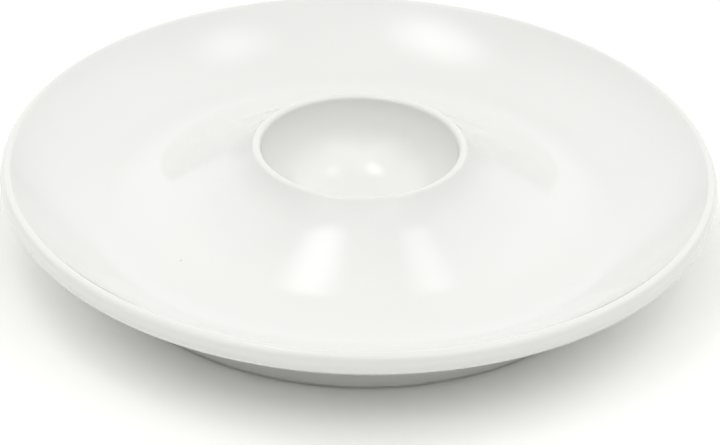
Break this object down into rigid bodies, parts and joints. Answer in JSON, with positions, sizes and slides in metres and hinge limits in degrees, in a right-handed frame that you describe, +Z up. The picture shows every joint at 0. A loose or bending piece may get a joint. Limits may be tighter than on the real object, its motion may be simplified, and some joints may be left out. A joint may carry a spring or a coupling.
{
  "type": "egg plate",
  "caption": "Round one-piece glazed porcelain egg plate: a raised egg cup on a conical pedestal in the middle of a shallow dish with a rolled rim and a foot ring.",
  "frame": {"origin": "centre of the circle on which the foot ring rests, at table level", "axes": "+Z up, along the plate's axis of revolution; X and Y lie in the table plane and are interchangeable"},
  "size_m": [0.14, 0.14, 0.0223],
  "materials": {
    "glaze": "gloss, slightly warm white",
    "bisque": "matt, unglazed"
  },
  "bodies": {
    "root": {"rim": "glaze", "well": "glaze", "pedestal": "glaze", "egg_cup": "glaze", "cup_lip": "glaze", "foot_ring": "bisque"}
  },
  "joints": []
}
